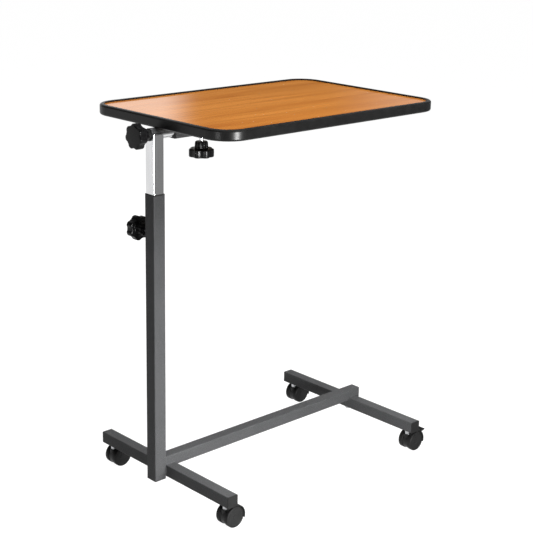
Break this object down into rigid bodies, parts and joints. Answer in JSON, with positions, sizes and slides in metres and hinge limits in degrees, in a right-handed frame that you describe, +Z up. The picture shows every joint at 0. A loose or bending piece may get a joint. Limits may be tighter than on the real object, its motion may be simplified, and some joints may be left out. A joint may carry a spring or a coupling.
{
  "type": "overbed table",
  "caption": "Rolling overbed table: H-shaped tube base on twin-wheel casters, telescoping side column with star-knob clamps, and a tilting, sliding wood-laminate top with a raised black edge.",
  "frame": {"origin": "on the floor under the middle of the whole table, at rest", "axes": "+X along the spine from the column towards the far leg, +Y along the legs towards the height knob, +Z up"},
  "size_m": [0.673, 0.41, 0.792],
  "materials": {
    "frame_paint": "fine-textured dark grey metallic powder coat",
    "chrome_tube": "satin chrome plate",
    "star_knob": "gloss black moulded phenolic",
    "zinc_steel": "bright zinc plate",
    "black_plastic": "satin black moulded plastic",
    "wood_laminate": "satin honey wood-grain laminate on particle board",
    "edge_pvc": "satin black PVC edge band",
    "caster_plastic": "semi-gloss black nylon",
    "wheel_nylon": "satin dark grey nylon"
  },
  "bodies": {
    "base": {"outer_column": "frame_paint", "column_foot_cap": "black_plastic", "column_guide_bush": "black_plastic", "height_clamp_nut": "zinc_steel", "spine_tube": "frame_paint", "spine_end_cap": "black_plastic", "near_leg_tube": "frame_paint", "near_leg_end_caps": "black_plastic", "far_leg_tube": "frame_paint", "far_leg_end_caps": "black_plastic", "leg_bolts": "zinc_steel", "leg_nut_plates": "zinc_steel", "caster_sockets": "black_plastic"},
    "height_knob": {"height_knob_grip": "star_knob", "height_knob_stud": "zinc_steel"},
    "mast": {"inner_column": "chrome_tube", "inner_column_glide": "black_plastic", "head_saddle": "frame_paint", "tilt_friction_bush": "black_plastic"},
    "arm": {"tilt_rod": "chrome_tube", "rod_thread_plug": "zinc_steel", "rod_end_glide": "black_plastic"},
    "tilt_knob": {"tilt_knob_grip": "star_knob", "tilt_knob_stud": "zinc_steel"},
    "tabletop": {"table_board": "wood_laminate", "edge_rim": "edge_pvc", "support_rail": "frame_paint", "rail_guide_bush": "black_plastic", "rail_end_cap": "black_plastic", "slide_clamp_nut": "zinc_steel", "rail_brackets": "frame_paint", "bracket_screws": "zinc_steel"},
    "slide_knob": {"slide_knob_grip": "star_knob", "slide_knob_stud": "zinc_steel"},
    "caster_near_front": {"caster_near_front_stem": "zinc_steel", "caster_near_front_hood": "caster_plastic", "caster_near_front_axle": "zinc_steel"},
    "caster_near_front_wheel_a": {"caster_near_front_wheel_a": "wheel_nylon"},
    "caster_near_front_wheel_b": {"caster_near_front_wheel_b": "wheel_nylon"},
    "caster_near_rear": {"caster_near_rear_stem": "zinc_steel", "caster_near_rear_hood": "caster_plastic", "caster_near_rear_axle": "zinc_steel"},
    "caster_near_rear_wheel_a": {"caster_near_rear_wheel_a": "wheel_nylon"},
    "caster_near_rear_wheel_b": {"caster_near_rear_wheel_b": "wheel_nylon"},
    "caster_far_front": {"caster_far_front_stem": "zinc_steel", "caster_far_front_hood": "caster_plastic", "caster_far_front_axle": "zinc_steel"},
    "caster_far_front_wheel_a": {"caster_far_front_wheel_a": "wheel_nylon"},
    "caster_far_front_wheel_b": {"caster_far_front_wheel_b": "wheel_nylon"},
    "caster_far_front_brake": {"caster_far_front_brake_lever": "caster_plastic"},
    "caster_far_rear": {"caster_far_rear_stem": "zinc_steel", "caster_far_rear_hood": "caster_plastic", "caster_far_rear_axle": "zinc_steel"},
    "caster_far_rear_wheel_a": {"caster_far_rear_wheel_a": "wheel_nylon"},
    "caster_far_rear_wheel_b": {"caster_far_rear_wheel_b": "wheel_nylon"},
    "caster_far_rear_brake": {"caster_far_rear_brake_lever": "caster_plastic"}
  },
  "joints": [
    {"name": "column_height", "type": "slide", "parent": "base", "child": "mast", "axis": [0, 0, 1], "range_m": [-0.1, 0.19]},
    {"name": "height_knob_turn", "type": "hinge", "parent": "base", "child": "height_knob", "pos_m": [-0.28545, 0.031, 0.565], "axis": [0, 1, 0], "range_deg": [0, 450]},
    {"name": "top_tilt", "type": "hinge", "parent": "mast", "child": "arm", "pos_m": [-0.28545, 0, 0.7585], "axis": [1, 0, 0], "range_deg": [-40, 40]},
    {"name": "tilt_knob_turn", "type": "hinge", "parent": "arm", "child": "tilt_knob", "pos_m": [-0.30605, 0, 0.7585], "axis": [-1, 0, 0], "range_deg": [0, 450]},
    {"name": "top_slide", "type": "slide", "parent": "arm", "child": "tabletop", "axis": [1, 0, 0], "range_m": [0, 0.11]},
    {"name": "slide_knob_turn", "type": "hinge", "parent": "tabletop", "child": "slide_knob", "pos_m": [-0.16945, 0, 0.731], "axis": [0, 0, -1], "range_deg": [0, 450]},
    {"name": "caster_near_front_swivel", "type": "hinge", "parent": "base", "child": "caster_near_front", "pos_m": [-0.25895, -0.183, 0.049], "axis": [0, 0, 1], "continuous": true},
    {"name": "caster_near_front_wheel_a_roll", "type": "hinge", "parent": "caster_near_front", "child": "caster_near_front_wheel_a", "pos_m": [-0.24695, -0.1945, 0.022], "axis": [0, 1, 0], "continuous": true},
    {"name": "caster_near_front_wheel_b_roll", "type": "hinge", "parent": "caster_near_front", "child": "caster_near_front_wheel_b", "pos_m": [-0.24695, -0.1715, 0.022], "axis": [0, 1, 0], "continuous": true},
    {"name": "caster_near_rear_swivel", "type": "hinge", "parent": "base", "child": "caster_near_rear", "pos_m": [-0.25895, 0.183, 0.049], "axis": [0, 0, 1], "continuous": true},
    {"name": "caster_near_rear_wheel_a_roll", "type": "hinge", "parent": "caster_near_rear", "child": "caster_near_rear_wheel_a", "pos_m": [-0.24695, 0.1715, 0.022], "axis": [0, 1, 0], "continuous": true},
    {"name": "caster_near_rear_wheel_b_roll", "type": "hinge", "parent": "caster_near_rear", "child": "caster_near_rear_wheel_b", "pos_m": [-0.24695, 0.1945, 0.022], "axis": [0, 1, 0], "continuous": true},
    {"name": "caster_far_front_swivel", "type": "hinge", "parent": "base", "child": "caster_far_front", "pos_m": [0.28605, -0.183, 0.049], "axis": [0, 0, 1], "continuous": true},
    {"name": "caster_far_front_wheel_a_roll", "type": "hinge", "parent": "caster_far_front", "child": "caster_far_front_wheel_a", "pos_m": [0.29805, -0.1945, 0.022], "axis": [0, 1, 0], "continuous": true},
    {"name": "caster_far_front_wheel_b_roll", "type": "hinge", "parent": "caster_far_front", "child": "caster_far_front_wheel_b", "pos_m": [0.29805, -0.1715, 0.022], "axis": [0, 1, 0], "continuous": true},
    {"name": "caster_far_front_brake_press", "type": "hinge", "parent": "caster_far_front", "child": "caster_far_front_brake", "pos_m": [0.30805, -0.183, 0.0454], "axis": [0, 1, 0], "range_deg": [0, 8]},
    {"name": "caster_far_rear_swivel", "type": "hinge", "parent": "base", "child": "caster_far_rear", "pos_m": [0.28605, 0.183, 0.049], "axis": [0, 0, 1], "continuous": true},
    {"name": "caster_far_rear_wheel_a_roll", "type": "hinge", "parent": "caster_far_rear", "child": "caster_far_rear_wheel_a", "pos_m": [0.29805, 0.1715, 0.022], "axis": [0, 1, 0], "continuous": true},
    {"name": "caster_far_rear_wheel_b_roll", "type": "hinge", "parent": "caster_far_rear", "child": "caster_far_rear_wheel_b", "pos_m": [0.29805, 0.1945, 0.022], "axis": [0, 1, 0], "continuous": true},
    {"name": "caster_far_rear_brake_press", "type": "hinge", "parent": "caster_far_rear", "child": "caster_far_rear_brake", "pos_m": [0.30805, 0.183, 0.0454], "axis": [0, 1, 0], "range_deg": [0, 8]}
  ]
}
